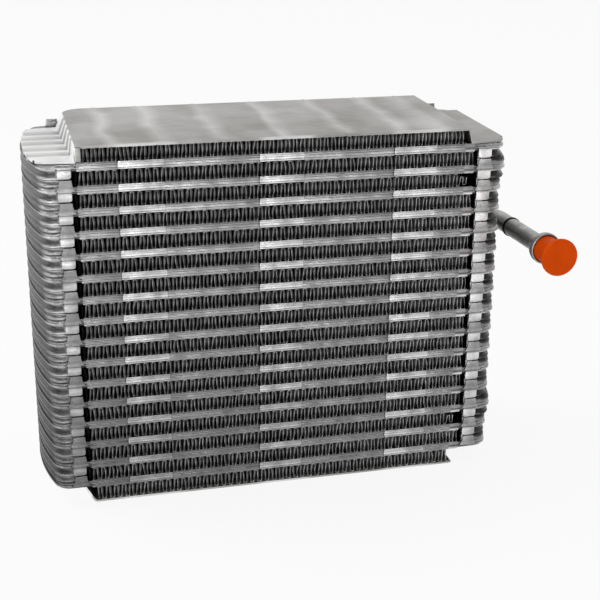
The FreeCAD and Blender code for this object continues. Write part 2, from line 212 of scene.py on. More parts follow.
def press_plate(name, upper, right_reach, closed=False, square_end=False):
    """Stamps one half shell. A closed one has no cups and keeps its back tabs only."""
    piece = plate_blank(name, right_reach)
    if square_end:
        bpy.ops.mesh.bisect(plane_co=(square_cut * mm, 0, 0), plane_no=(1, 0, 0),
                            clear_outer=True)
        bpy.ops.mesh.select_all(action="SELECT")
    bpy.ops.mesh.inset(thickness=rim_width * mm)
    for width, rise in channel_wall:
        bpy.ops.mesh.inset(thickness=width * mm, depth=rise * mm)
    for x in (left_cup_x, right_cup_x):
        pick("FACE", on_channel)
        bpy.ops.mesh.bisect(plane_co=(x * mm, 0, 0), plane_no=(1, 0, 0))
    if not closed:
        draw_cup(-1, upper_cup_left if upper else lower_cup_left)
        draw_cup(1, upper_cup_right if upper else lower_cup_right)
    tabs = upper_tabs if upper else lower_tabs
    for edge in sorted({x for pair in tabs + crimped_lands + ledges for x in pair}):
        pick("EDGE", lambda e: all(v.co.z < 0.05 * mm for v in e.verts))
        bpy.ops.mesh.bisect(plane_co=(edge * mm, 0, 0), plane_no=(1, 0, 0))
    for left, right in crimped_lands:
        add_edge_strip(left, right, [1.2, 1.2] if upper else [0.8, 0.7], [1.0, 0.98])
    for left, right in ledges:
        add_edge_strip(left, right, [1.1, 1.2] if upper else [0.9, 1.0], [1.0, 0.995],
                       setback=0.6)
    for left, right in tabs:
        if upper:
            add_edge_strip(left, right, [0.8, 1.1, 1.3, 1.4, 0.75],
                           [0.93, 0.88, 0.88, 0.96, 1.0], 0.5, 0.1, closed)
        else:
            add_edge_strip(left, right, [1.0, 3.35, 1.0], [1.0, 1.0, 0.95], 1.1, 0.1, closed)
    close_piece()
    return piece


def finish_plate(piece, upper):
    """Gives the shell its wall and soft edges, and turns a lower one face down."""
    use_modifier(piece, "SOLIDIFY", thickness=plate_gauge * mm, offset=1.0,
                 use_quality_normals=True)
    use_modifier(piece, "BEVEL", width=0.12 * mm, segments=2, limit_method="ANGLE",
                 angle_limit=math.radians(50))
    if not upper:
        open_piece(piece)
        bpy.ops.mesh.select_all(action="SELECT")
        stretch(z=-1)
        bpy.ops.mesh.flip_normals()
        close_piece()
    smooth(piece)


def place_copy(master, name, z):
    """A copy of a piece with its own mesh, moved up to its level."""
    piece = master.copy()
    piece.data = master.data.copy()
    piece.name = piece.data.name = name
    bpy.context.scene.collection.objects.link(piece)
    piece.data.transform(Matrix.Translation((0, 0, z * mm)))
    return piece


class Nodes:
    """The nodes of a material, an effect or the studio, and short ways to join them."""

    def __init__(self, tree):
        self.tree = tree

    def add(self, kind, **settings):
        node = self.tree.nodes.new("ShaderNode" + kind)
        for name, setting in settings.items():
            setattr(node, name, setting)
        return node

    def put(self, socket, source):
        """Gives a socket a number, a colour or another node's output."""
        if isinstance(source, (int, float)):
            socket.default_value = source
        elif isinstance(source, tuple):
            socket.default_value = (*source, 1.0) if len(source) == 3 else source
        else:
            self.tree.links.new(source, socket)

    def reckon(self, operation, *values):
        node = self.add("Math", operation=operation)
        for socket, source in zip(node.inputs, values):
            self.put(socket, source)
        return node.outputs[0]

    def place(self):
        """X, Y and Z of the spot on the object."""
        split = self.add("SeparateXYZ")
        self.put(split.inputs[0], self.add("TexCoord").outputs["Object"])
        return split.outputs

    def between(self, value, low, high, first=0.0, last=1.0):
        """First where the value is low or less, last where it is high or more."""
        node = self.add("MapRange")
        for name, source in (("Value", value), ("From Min", low), ("From Max", high),
                             ("To Min", first), ("To Max", last)):
            self.put(node.inputs[name], source)
        return node.outputs["Result"]

    def blend(self, part, first, second, kind="MIX"):
        node = self.add("Mix", data_type="RGBA", blend_type=kind)
        for socket, source in ((node.inputs[0], part), (node.inputs[6], first),
                               (node.inputs[7], second)):
            self.put(socket, source)
        return node.outputs[2]

    def ramp(self, value, stops):
        """A grey that follows the value through its stops."""
        node = self.add("ValToRGB")
        self.put(node.inputs[0], value)
        bands = node.color_ramp.elements
        bands[0].position, bands[1].position = stops[0][0], stops[-1][0]
        for position, _ in stops[1:-1]:
            bands.new(position)
        for band, (_, grey) in zip(bands, stops):
            band.color = (grey, grey, grey, 1.0)
        return node.outputs[0]

    def cloud(self, scale, detail=2.0, drawn=(1.0, 1.0, 1.0)):
        mapping = self.add("Mapping")
        self.put(mapping.inputs["Vector"], self.add("TexCoord").outputs["Object"])
        mapping.inputs["Scale"].default_value = drawn
        node = self.add("TexNoise")
        self.put(node.inputs["Vector"], mapping.outputs[0])
        self.put(node.inputs["Scale"], scale)
        self.put(node.inputs["Detail"], detail)
        return node.outputs[0]

    def use(self, effect, **inputs):
        node = self.add("Group")
        node.node_tree = effect.tree
        for name, source in inputs.items():
            self.put(node.inputs[name], source)
        return node.outputs


class Finish(Nodes):
    """A material being mixed, and the sockets of its shader."""

    def __init__(self, name, metallic, roughness):
        self.material = bpy.data.materials.new(name)
        self.material.use_nodes = True
        super().__init__(self.material.node_tree)
        self.shader = self.tree.nodes["Principled BSDF"].inputs
        self.shader["Metallic"].default_value = metallic
        self.shader["Roughness"].default_value = roughness


class Effect(Nodes):
    """A node group that several finishes use, with its named inputs and outputs."""

    def __init__(self, name, inputs, outputs):
        super().__init__(bpy.data.node_groups.new(name, "ShaderNodeTree"))
        for label, kind, start in inputs:
            socket = self.tree.interface.new_socket(label, in_out="INPUT",
                                                    socket_type="NodeSocket" + kind)
            socket.default_value = start
        for label, kind in outputs:
            self.tree.interface.new_socket(label, in_out="OUTPUT",
                                           socket_type="NodeSocket" + kind)
        self.start = self.tree.nodes.new("NodeGroupInput").outputs
        self.end = self.tree.nodes.new("NodeGroupOutput").inputs


# Mill finish of rolled aluminium: cloudy dulling, fine scratches and a faint unevenness.
mill = Effect("mill_finish",
              [("Metal", "Color", (0.6, 0.6, 0.6, 1)), ("Dull", "Color", (0.4, 0.4, 0.4, 1)),
               ("Clouds", "Float", 60.0), ("Roughness", "Float", 0.3),
               ("Relief", "Float", 0.2)],
              [("Metal", "Color"), ("Roughness", "Float"), ("Normal", "Vector")])
dulling = mill.between(mill.cloud(mill.start["Clouds"], 4.0), 0.38, 0.66)
scratch = mill.between(mill.cloud(mill.start["Clouds"], 3.0, (3.0, 14.0, 14.0)), 0.35, 0.7)
mill.put(mill.end["Metal"], mill.blend(dulling, mill.start["Metal"], mill.start["Dull"]))
mill.put(mill.end["Roughness"], mill.reckon("ADD", mill.start["Roughness"], mill.reckon(
    "MULTIPLY", mill.reckon("ADD", dulling, scratch), 0.08)))
uneven = mill.add("Bump")
mill.put(uneven.inputs["Strength"], mill.start["Relief"])
mill.put(uneven.inputs["Distance"], 0.0004)
mill.put(uneven.inputs["Height"], mill.reckon("ADD", mill.cloud(180.0, 3.0), scratch))
mill.put(mill.end["Normal"], uneven.outputs[0])


def colour_of(finish, colour):
    return colour(finish) if callable(colour) else colour


def metal_finish(name, metal, dull, roughness, clouds, relief):
    """A material whose colour, roughness and normal come from the mill finish."""
    finish = Finish(name, 1.0, roughness)
    worn = finish.use(mill, Metal=colour_of(finish, metal), Dull=colour_of(finish, dull),
                      Clouds=clouds, Roughness=roughness, Relief=relief)
    for socket, output in (("Base Color", "Metal"), ("Roughness", "Roughness"),
                           ("Normal", "Normal")):
        finish.put(finish.shader[socket], worn[output])
    return finish.material


def below_rim(finish):
    """Height below a tube's rim as a share of the spacing: 0 there, 1 at the next rim.

    The heights are first lowered by many spacings, so that all have the same sign.
    """
    rim_offset = tube_height / 2 - end_gauge
    raised = finish.reckon("ADD", finish.place()["Z"], (rim_offset - 200 * tube_pitch) * mm)
    return finish.reckon("FRACT", finish.reckon("MULTIPLY", raised, -1 / (tube_pitch * mm)))


# where one grey gives way to the next, in metres out from the middle: first towards the
# front and back, then towards the left and right
core_depth, tab_depth, land_depth = (0.0424, 0.0432), (0.0440, 0.0443), (0.0446, 0.0448)
bowed_depth = (0.0434, 0.037)
pocket_reach, tank_reach = (0.0995, 0.1000), (0.1108, 0.1114)
pocket_back = 0.1052


def wall_painted_light(finish, place, depth, height):
    """The tanks' walls, with painted light: painted highlights on the rims and beads, painted
    shade in the grooves, and the bowed ends painted darker as shade.
    """
    # Left wall: painted highlights on the rim lips and beads, painted shade in the grooves
    # between them.
    left = finish.ramp(height, [
        (0.0, 1.0), (0.05, 1.0), (0.1, 0.6), (0.17, 0.22), (0.25, 0.08), (0.33, 0.12),
        (0.40, 0.4), (0.46, 1.0), (0.52, 1.0), (0.57, 0.35), (0.63, 0.22), (0.7, 0.4),
        (0.77, 0.8), (0.83, 0.4), (0.87, 0.25), (0.92, 0.6), (1.0, 1.0)])
    # Sides of the bowed ends: a darker grey, painted shade.
    turned = finish.ramp(height, [
        (0.0, 0.14), (0.17, 0.15), (0.33, 0.1), (0.5, 0.075), (0.83, 0.055), (0.92, 0.07),
        (1.0, 0.14)])
    left = finish.blend(finish.between(depth, *bowed_depth, 0.0, 0.9), left, turned)
    # Right wall: a painted dark wedge below each rim, painted shade.
    right = finish.ramp(height, [
        (0.0, 0.65), (0.08, 0.75), (0.15, 0.4), (0.2, 0.2), (0.27, 0.07), (0.45, 0.04),
        (0.6, 0.03), (0.66, 0.1), (0.75, 0.3), (0.84, 0.4), (0.92, 0.5), (1.0, 0.65)])
    return finish.blend(finish.reckon("GREATER_THAN", place["X"], 0.0), left, right)


def tab_painted_light(finish, place, height):
    """The tabs: a hanging and a standing one meet halfway between two rims, with a painted
    shadow line under each rim, the hanging tab painted brighter than the standing one as lit,
    and the back tabs painted white.
    """
    # Painted shadow line just under the rim, then the hanging tab painted bright as lit, the
    # standing tab greyer.
    left = finish.ramp(height, [
        (0.0, 0.6), (0.05, 0.5), (0.08, 0.15), (0.12, 0.6), (0.17, 0.75), (0.25, 0.9),
        (0.33, 0.72), (0.42, 0.7), (0.5, 0.5), (0.58, 0.42), (0.75, 0.42), (0.84, 0.32),
        (0.92, 0.38), (0.97, 0.6)])
    right = finish.ramp(height, [
        (0.0, 0.4), (0.04, 0.2), (0.08, 0.7), (0.14, 1.0), (0.33, 0.95), (0.5, 0.7),
        (0.6, 0.55), (0.75, 0.45), (0.82, 0.4), (0.88, 0.5), (0.97, 0.5)])
    tab = finish.blend(finish.reckon("GREATER_THAN", place["X"], 0.0), left, right)
    # The back tabs are painted white: painted light.
    return finish.blend(finish.reckon("GREATER_THAN", place["Y"], 0.0), tab, (1.0, 1.0, 1.0))


def land_painted_light(finish, depth, height, front):
    """The rims' edges: bright crimped lands, darker ledges and the slope behind both, with a
    painted highlight on each rim's lip and a painted shadow line under it.
    """
    # Each ramp: a painted highlight at the rim's lip, a painted shadow line just under it and
    # another above the next rim.
    slope = finish.ramp(height, [
        (0.0, 1.0), (0.045, 0.9), (0.065, 0.1), (0.11, 0.12), (0.14, 0.38), (0.3, 0.3),
        (0.75, 0.38), (0.9, 0.5), (0.93, 0.2), (0.955, 0.35), (0.97, 1.0), (1.0, 1.0)])
    crimp = finish.ramp(height, [
        (0.0, 1.0), (0.04, 1.0), (0.055, 0.2), (0.07, 0.2), (0.085, 0.8), (0.13, 0.8),
        (0.75, 0.6), (0.8, 0.8), (0.86, 0.6), (0.9, 0.85), (0.935, 0.7), (0.95, 0.25),
        (0.965, 1.0)])
    ledge = finish.ramp(height, [
        (0.0, 0.85), (0.04, 0.8), (0.055, 0.12), (0.07, 0.12), (0.083, 0.5), (0.13, 0.45),
        (0.8, 0.3), (0.85, 0.2), (0.89, 0.45), (0.93, 0.4), (0.945, 0.12), (0.955, 0.12),
        (0.97, 0.85)])
    outer = finish.between(depth, *land_depth)
    return finish.blend(front, slope, finish.blend(outer, ledge, crimp))


def plate_metal(finish):
    """The plates' grey from the core out to the tanks, with painted shade and light, darker low
    down at the left.
    """
    place = finish.place()
    height = below_rim(finish)
    across, depth = finish.reckon("ABSOLUTE", place["X"]), finish.reckon("ABSOLUTE", place["Y"])
    front, core_front = finish.between(depth, *tab_depth), finish.between(depth, *core_depth)
    wall, tab = wall_painted_light(finish, place, depth, height), tab_painted_light(finish, place, height)
    land = land_painted_light(finish, depth, height, front)
    # Plates behind the core's front: a flat darker grey, painted shade.
    core = finish.blend(core_front, (0.3, 0.3, 0.3), land)
    # The pockets between the fins and the tanks: near-black, painted shadow.
    pocket = finish.blend(core_front, (0.02, 0.02, 0.02), finish.blend(front, land, tab))
    # The wall seen through the gap between two tabs takes the tabs' grey: painted light over its
    # shade.
    behind = finish.reckon("MULTIPLY", finish.reckon("GREATER_THAN", across, pocket_back),
                           finish.reckon("COMPARE", height, 0.52, 0.1))
    pocket = finish.blend(finish.reckon("MULTIPLY", behind, core_front), pocket, tab)
    end = finish.blend(finish.between(across, *tank_reach), pocket,
                       finish.blend(front, wall, tab))
    whole = finish.blend(finish.between(across, *pocket_reach), core, end)
    fading = finish.blend(finish.between(place["X"], -0.105, 0.105), (0.32, 0.32, 0.32),
                          (0.75, 0.75, 0.75))
    fading = finish.blend(finish.between(place["Z"], 0.0, 0.17), fading, (1.0, 1.0, 1.0))
    return finish.blend(1.0, whole, fading, "MULTIPLY")


bare_aluminium = metal_finish("bare_aluminium", plate_metal, lambda f: f.blend(
    0.5, plate_metal(f), (0.12, 0.12, 0.12)), 0.26, 140.0, 0.4)

masters = {}
for upper in (True, False):
    half = "upper" if upper else "lower"
    for form in ("plain", "long", "first", "last"):
        if (half, form) == ("upper", "last"):
            continue
        closed = (half, form) in (("upper", "first"), ("lower", "last"))
        masters[half, form] = press_plate(
            f"{half}_{form}", upper, long_reach if form == "long" else plain_reach, closed,
            square_end=form == "first")
        finish_plate(masters[half, form], upper)
for tube in range(1, tube_count + 1):
    level = end_gauge + (tube_count + 1 - tube) * tube_pitch - tube_height / 2
    for half in ("upper", "lower"):
        form = "long" if tube in long_rim_tubes else "plain"
        if tube == 1:
            form = "first"
        if (tube, half) == (tube_count, "lower"):
            form = "last"
        piece = place_copy(masters[half, form], f"tube_{tube:02d}_{half}_shell", level)
        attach(piece, "root")
        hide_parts(f"{half}_plate_{tube:02d}")
        piece.data.materials.append(bare_aluminium)
for master in masters.values():
    bpy.data.objects.remove(master)

# Fin strips: thin aluminium foil folded to and fro between the tubes, with slits that
# bend it sideways behind its front and back edges. The folds lean and wander a little,
# as pressed strips do.
fold_pitch, strip_height, foil = 4.04, 7.3, 0.16
fold_round, half_strip, strip_base = 0.55, 44.3, 1.05
strip_left, outer_strip_left = -104.0, -97.9
strip_folds, outer_strip_folds = 52, 49
short_strips, short_end = (3, 15), 102.6
crushed_from, crushed_depth = 97, -25
# in metres, as the material reads them: the lit front, the ends and the inner strips
lit_depth, strip_middle, strip_end = (0.0385, 0.044), 0.002, (0.1018, 0.1026)
inner_bottom, inner_top = 0.01, 0.184


def fold_strip(name, folds, left):
    """One fold drawn as a line, drawn out in depth, then repeated along the strip."""
    piece = start_at(name, left, -half_strip, fold_round)
    half_rise = (strip_height - fold_round - fold_round) * 0.5
    for share, dz in ((0.035, half_rise), (0.035, half_rise), (0.06, 0.33), (0.14, 0.2),
                      (0.14, -0.2), (0.06, -0.33), (0.035, -half_rise), (0.035, -half_rise),
                      (0.08, -0.33), (0.15, -0.2), (0.15, 0.2), (0.08, 0.33)):
        draw_on(x=share * fold_pitch, z=dz)
    bpy.ops.mesh.select_all(action="SELECT")
    for run, sideways in ((1.3, 1.0), (1.5, -1.2), (1.8, 1.2), (2.2, -1.0), (75.0, 0),
                          (2.2, 1.0), (1.8, -1.2), (1.5, 1.2), (1.3, -1.0)):
        draw_on(x=sideways, y=run)
    close_piece()
    use_modifier(piece, "ARRAY", count=folds, use_relative_offset=False,
                 use_constant_offset=True, constant_offset_displace=(fold_pitch * mm, 0, 0),
                 use_merge_vertices=True, merge_threshold=0.01 * mm)
    return piece


def crush_end(piece, level):
    """Cuts a strip short at the right and flattens its last folds in front."""
    open_piece(piece)
    bpy.ops.mesh.select_all(action="SELECT")
    bpy.ops.mesh.bisect(plane_co=(short_end * mm, 0, 0), plane_no=(1, 0, 0), clear_outer=True)
    pick("VERT", lambda v: v.co.x > crushed_from * mm and v.co.y < crushed_depth * mm)
    stretch(x=0.8, z=0.6, about=(crushed_from, -44, 4.2 + level))
    close_piece()


def fin_metal(finish):
    """Painted light on the folds: lit in front with painted bands of light and shade by height,
    painted shade behind them and at the two ends of the inner strips.
    """
    place = finish.place()
    depth = finish.reckon("ABSOLUTE", place["Y"])
    # Painted light and shade by height in each strip, brightest at the fold bottoms.
    folds = finish.ramp(below_rim(finish), [
        (0.18, 0.7), (0.26, 0.45), (0.4, 0.75), (0.55, 0.6), (0.64, 0.25), (0.69, 0.3),
        (0.74, 0.7), (0.82, 0.9)])
    off_middle = finish.reckon(
        "ABSOLUTE", finish.reckon("SUBTRACT", place["X"], strip_middle))
    inner = finish.reckon("MULTIPLY", finish.reckon("LESS_THAN", place["Z"], inner_top),
                          finish.reckon("GREATER_THAN", place["Z"], inner_bottom))
    ends = finish.reckon("MULTIPLY", finish.between(off_middle, *strip_end), inner)
    lit = finish.reckon("MULTIPLY", finish.between(depth, *lit_depth),
                        finish.reckon("SUBTRACT", 1.0, ends))
    # Near-black behind the lit front and at the strip ends: painted shade.
    return finish.blend(lit, (0.01, 0.01, 0.01), folds)


fin_foil = metal_finish("fin_foil", fin_metal, lambda f: f.blend(
    0.5, fin_metal(f), (0.05, 0.05, 0.05)), 0.4, 260.0, 0.1)

fold_wander = bpy.data.textures.new("fold_wander", "CLOUDS")
fold_wander.noise_scale = 6 * mm
strip_master = fold_strip("strip", strip_folds, strip_left)
outer_master = fold_strip("outer_strip", outer_strip_folds, outer_strip_left)
for strip in range(1, tube_count + 2):
    outer = strip in (1, tube_count + 1)
    level = (tube_count + 1 - strip) * tube_pitch
    piece = place_copy(outer_master if outer else strip_master, f"fin_fold_{strip:02d}",
                       strip_base + level)
    use_modifier(piece, "DISPLACE", texture=fold_wander, direction="X", strength=1.6 * mm,
                 mid_level=0.5, texture_coords="LOCAL")
    if strip in short_strips:
        crush_end(piece, level)
    use_modifier(piece, "SOLIDIFY", thickness=foil * mm, offset=0.0)
    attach(piece, "root")
    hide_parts(f"fin_strip_{strip:02d}")
    piece.data.materials.append(fin_foil)
    smooth(piece, 50)
for master in (strip_master, outer_master):
    bpy.data.objects.remove(master)

# Top end sheet: 1 mm aluminium, flat over the top fin, with shallow cross beads. Each end
# steps down a ramp to a foot on the tank; pressed ribs stiffen the left ramp and foot.
sheet_top, foot_top = 192.9, 185.5
left_crest, right_crest, left_foot, right_foot = 101.4, 101.6, 105.0, 103.6
rib_valleys, rib_width, rib_depth = (20.0, 8.9, -2.3, -15.6, -27.6), 3.2, 1.5
bead_places, bead_width, bead_height = (-84, -61, -29, 3.6, 35, 65, 89), 1.6, 0.22
flange_right, flange_drop = -98.7, 7.0
back_corner, front_corner_shift = 11, 3.4
# pinched corners of the feet, painted with near-black spots as shade: x, y and size, in metres
# as the material reads them
pinched_corners = [(-0.1212, -0.0388, 0.0012), (-0.1215, 0.0305, 0.0011),
                   (0.1240, -0.0350, 0.0013)]


def lay_sheet(name, top, left, right):
    """A flat sheet from the left crest to the right one, open for editing."""
    bpy.ops.object.select_all(action="DESELECT")
    bpy.ops.mesh.primitive_plane_add(size=2 * mm)
    piece = bpy.context.object
    piece.name = piece.data.name = name
    open_piece(piece)
    bpy.ops.mesh.select_all(action="SELECT")
    stretch(x=(left + right) / 2, y=half_depth)
    bpy.ops.transform.translate(value=((right - left) / 2 * mm, 0, top * mm))
    return piece


def draw_end(side, steps):
    """Draws one end of a sheet out: across, down, and the new edge's front and back."""
    pick("EDGE", lambda e: all(side * v.co.x > 0.09 for v in e.verts) and
         abs(e.verts[0].co.x - e.verts[1].co.x) < 1e-6)
    for across, down, front, back in steps:
        draw_on(x=side * across, z=-down)
        x_now = [v.co.x for v in bmesh.from_edit_mesh(bpy.context.object.data).verts
                 if v.select][0]
        for y_side, y_new in ((-1, front), (1, back)):
            mesh = bmesh.from_edit_mesh(bpy.context.object.data)
            y_old = [v.co.y for v in mesh.verts if v.select and v.co.y * y_side > 0][0]
            pick("VERT", lambda v: abs(v.co.x - x_now) < 1e-6 and v.co.y * y_side > 0)
            bpy.ops.transform.translate(value=(0, y_new * mm - y_old, 0))
            pick("VERT", lambda v: abs(v.co.x - x_now) < 1e-6)


def press_line(axis, place, width, rise, test):
    """Cuts three lines across the sheet and moves the middle one: a rib or a bead."""
    for shift in (-width, 0, width):
        bpy.ops.mesh.select_mode(type="FACE")
        bpy.ops.mesh.select_all(action="SELECT")
        point = [0, 0, 0]
        point[axis] = (place + shift) * mm
        bpy.ops.mesh.bisect(plane_co=point, plane_no=[float(i == axis) for i in range(3)])
    pick("VERT", lambda v: abs(v.co[axis] - place * mm) < 0.01 * mm and test(v.co / mm))
    bpy.ops.transform.translate(value=(0, 0, rise * mm))


def foot_painted_light(finish):
    """Grey of the left ramp and foot, painted light: ribs painted bright between valleys of
    painted shade, and the outer flat painted paler.
    """
    place = finish.place()
    # Bright ribs as painted highlights, darker valleys as painted shade.
    ribs = finish.ramp(finish.between(place["Y"], -0.045, 0.035), [
        (0.05, 0.9), (0.16, 0.9), (0.217, 0.3), (0.29, 0.95), (0.367, 0.3), (0.45, 0.95),
        (0.534, 0.3), (0.6, 0.95), (0.674, 0.3), (0.74, 0.95), (0.812, 0.3), (0.9, 0.9)])
    # The outer flat of the foot painted paler: painted light.
    flat = finish.between(place["X"], -0.106, -0.109)
    return finish.blend(finish.reckon("MULTIPLY", flat, 0.5), ribs, (0.72, 0.72, 0.71))


def spot(finish, x, y, radius):
    """1 inside a round spot on the sheet, 0 outside it."""
    place = finish.place()
    across = finish.reckon("SUBTRACT", place["X"], x)
    along = finish.reckon("SUBTRACT", place["Y"], y)
    squared = finish.reckon("ADD", finish.reckon("MULTIPLY", across, across),
                            finish.reckon("MULTIPLY", along, along))
    return finish.between(finish.reckon("SQRT", squared), radius, radius * 0.6)


def streaks(finish):
    """Paler bands over the beads, and paler patches along the front edge."""
    place = finish.place()
    wander = finish.reckon("MULTIPLY", finish.reckon("SUBTRACT", finish.cloud(25.0, 2.0), 0.5),
                           0.012)
    across = finish.reckon("ADD", place["X"], wander)
    bands = finish.ramp(finish.between(across, -0.1, 0.1), [
        (0.05, 0.0), (0.08, 0.8), (0.11, 0.1), (0.17, 0.1), (0.2, 0.8), (0.24, 0.1), (0.33, 0.0),
        (0.36, 0.7), (0.4, 0.1), (0.5, 0.0), (0.52, 0.8), (0.56, 0.1), (0.65, 0.1), (0.68, 0.7),
        (0.71, 0.0), (0.8, 0.1), (0.83, 0.8), (0.87, 0.0), (0.94, 0.6), (0.97, 0.1)])
    front = finish.between(place["Y"], -0.0415, -0.0445)
    patches = finish.ramp(finish.between(place["X"], -0.1, 0.1), [
        (0.05, 0.1), (0.1, 0.9), (0.22, 0.9), (0.25, 0.15), (0.44, 0.1), (0.47, 0.9),
        (0.58, 0.9), (0.6, 0.15), (0.79, 0.1), (0.82, 0.9), (0.93, 0.9), (0.96, 0.2)])
    return finish.blend(front, finish.blend(0.75, (0.0, 0.0, 0.0), bands), patches)


def sheet_grey(finish, top, paler_grey, foot):
    """The flat's two greys, the left foot's own, and near-black spots of painted shade where
    corners were pinched.
    """
    flat = finish.blend(streaks(finish), top, paler_grey)
    # The left ramp and foot take their own, brighter grey: painted light.
    ramp = finish.between(finish.place()["X"], -0.1010, -0.1016)
    metal = finish.blend(ramp, flat, foot)
    # Near-black spots at the pinched corners: painted shade for dents the mesh doesn't have.
    for x, y, radius in pinched_corners:
        metal = finish.blend(spot(finish, x, y, radius), metal, (0.01, 0.01, 0.01))
    return metal


def sheet_metal(finish):
    """Matt grey on top; the left ramp and foot painted brighter, as painted light from the left.
    """
    return sheet_grey(finish, (0.40, 0.395, 0.387), (0.72, 0.715, 0.71), foot_painted_light(finish))


def sheet_stain(finish):
    """The same sheet where brazing has stained it: browner and a little darker."""
    return sheet_grey(finish, (0.30, 0.288, 0.272), (0.58, 0.57, 0.56),
                      finish.blend(0.3, foot_painted_light(finish), (0.3, 0.3, 0.3)))


dull_sheet = metal_finish("dull_sheet", sheet_metal, sheet_stain, 0.42, 28.0, 0.3)


def finish_sheet(piece, node):
    """Rounds the folds, gives the sheet its thickness and softens its edges."""
    close_piece()
    use_modifier(piece, "BEVEL", width=0.9 * mm, segments=3, limit_method="ANGLE",
                 angle_limit=math.radians(8))
    use_modifier(piece, "SOLIDIFY", thickness=end_gauge * mm, offset=0.0)
    use_modifier(piece, "BEVEL", width=0.25 * mm, segments=2, limit_method="ANGLE",
                 angle_limit=math.radians(50))
    smooth(piece)
    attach(piece, "root")
    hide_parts(node)
    piece.data.materials.append(dull_sheet)


top_sheet = lay_sheet("top_sheet", sheet_top, left_crest, right_crest)
pick("VERT", lambda v: v.co.x < 0 < v.co.y)
bpy.ops.mesh.bevel(offset=back_corner * mm, segments=5, affect="VERTICES")
draw_end(-1, [(left_foot - left_crest, sheet_top - foot_top, -44.5, 34.0),
              (11.4, 0, -42.6, 33.0), (3.4, 0, -40.5, 32.3), (2.4, 0, -36.0, 29.5),
              (1.6, 0, -27.0, 20.0), (1.0, 0, -14.0, 8.0)])
pick("VERT", lambda v: abs(v.co.x + left_foot * mm) < 1e-5 and v.co.y < -0.04)
bpy.ops.transform.translate(value=(front_corner_shift * mm, 0, 0))
draw_end(1, [(right_foot - right_crest, sheet_top - foot_top, -44.5, 35.0),
             (16.7, 0, -42.0, 35.0), (2.6, 0, -38.5, 34.8), (1.6, 0, -33.0, 34.2)])
for valley in rib_valleys:
    press_line(1, valley, rib_width, -rib_depth, lambda p: p.x < -left_crest - 0.5)
for bead in bead_places:
    press_line(0, bead, bead_width, bead_height, lambda p: abs(p.y) < 46)
bpy.ops.mesh.select_mode(type="FACE")
bpy.ops.mesh.select_all(action="SELECT")
bpy.ops.mesh.bisect(plane_co=(flange_right * mm, 0, 0), plane_no=(1, 0, 0))
pick("EDGE", lambda e: all(v.co.y < -on_edge * mm and v.co.z > 0.19
                           and -left_crest - 0.1 < v.co.x / mm < flange_right + 0.1
                           for v in e.verts))
draw_on(z=-flange_drop)
finish_sheet(top_sheet, "top_end_sheet")

# Bottom end sheet: the same stock under the last fin. Its left end ramps up to a leg on
# the tank and its right end stops in a short lip that curls up.
bottom_sheet = lay_sheet("bottom_sheet", 0.5, 99.5, 99.5)
draw_end(-1, [(5.6, -7.4, -40.0, 40.0), (14.0, 0, -37.0, 37.0)])
draw_end(1, [(0.9, -0.05, -45, 45), (0.9, -0.35, -45, 45)])
finish_sheet(bottom_sheet, "bottom_end_sheet")

# Inlet pipe: 10 mm drawn aluminium tube, pushed into the right tank's end and brazed. It
# turns forward past the core and opens in a flare and a belled mouth.
inlet_gap, splay, bend_radius = 6, 3.0, 9.5
neck_end, run_length, neck_length = 128.3, 46, 2.0


def gap_level(gap):
    """Middle height of a gap between tubes, counted from the top."""
    room = tube_pitch - tube_height
    return end_gauge + (tube_count + 1 - gap) * tube_pitch + room / 2


inlet_level = gap_level(inlet_gap)
mouth_ward = Vector((math.sin(math.radians(splay)), -math.cos(math.radians(splay)), 0))
flare_start = Vector((140.19, -54.94, inlet_level))


def draw_rings(name, start, heading, rings, sides=32):
    """A turned piece: rings drawn one from the last, each (distance, radius)."""
    along, radius = rings[0]
    place = start + heading * along
    bpy.ops.object.select_all(action="DESELECT")
    bpy.ops.mesh.primitive_circle_add(vertices=sides, radius=radius * mm)
    piece = bpy.context.object
    piece.name = piece.data.name = name
    piece.data.transform(Matrix.Translation(place * mm)
                         @ heading.to_track_quat("Z", "Y").to_matrix().to_4x4())
    open_piece(piece)
    bpy.ops.mesh.select_all(action="SELECT")
    for along, new_radius in rings[1:]:
        step = start + heading * along - place
        draw_on(*step)
        place = place + step
        stretch(*[new_radius / radius] * 3, about=place)
        radius = new_radius
    return piece


def finish_turned(piece, material, closed=False):
    """Faces a turned piece outwards and smooths it. A closed one gets its two ends."""
    if closed:
        pick("EDGE", lambda e: len(e.link_faces) == 1)
        bpy.ops.mesh.edge_face_add()
    bpy.ops.mesh.select_all(action="SELECT")
    bpy.ops.mesh.normals_make_consistent(inside=False)
    close_piece()
    smooth(piece, 40)
    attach(piece, "root")
    piece.data.materials.append(material)


drawn_tube = metal_finish("drawn_tube", (0.45, 0.45, 0.44), (0.33, 0.33, 0.32), 0.36, 120.0, 0.2)
inlet_pipe = draw_rings("inlet_tube", flare_start, mouth_ward, [
    (-20, 4.0), (-1.5, 4.0), (1, 4.6), (3.5, 6.7), (5.2, 7.2), (8.6, 7.2), (9.0, 7.45),
    (9.2, 7.9), (9.0, 8.35), (8.5, 8.5), (6.2, 8.4), (4.6, 7.9), (3.0, 6.6), (1.4, 5.6),
    (-0.6, 5.1), (-3, 5.0), (-30, 5.0), (-run_length, 5.0)])
bpy.ops.mesh.spin(steps=10, angle=math.radians(splay - 90), dupli=False, axis=(0, 0, 1),
                  center=(neck_end * mm, -bend_radius * mm, inlet_level * mm))
draw_on(x=-neck_length)
finish_turned(inlet_pipe, drawn_tube)
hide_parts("inlet_pipe")

# Rubber band: a narrow dark band of moulded rubber, stretched over the inlet pipe and
# held there by its own grip, about 42 mm behind the mouth.
band_front, band_back = -31.8, -33.2


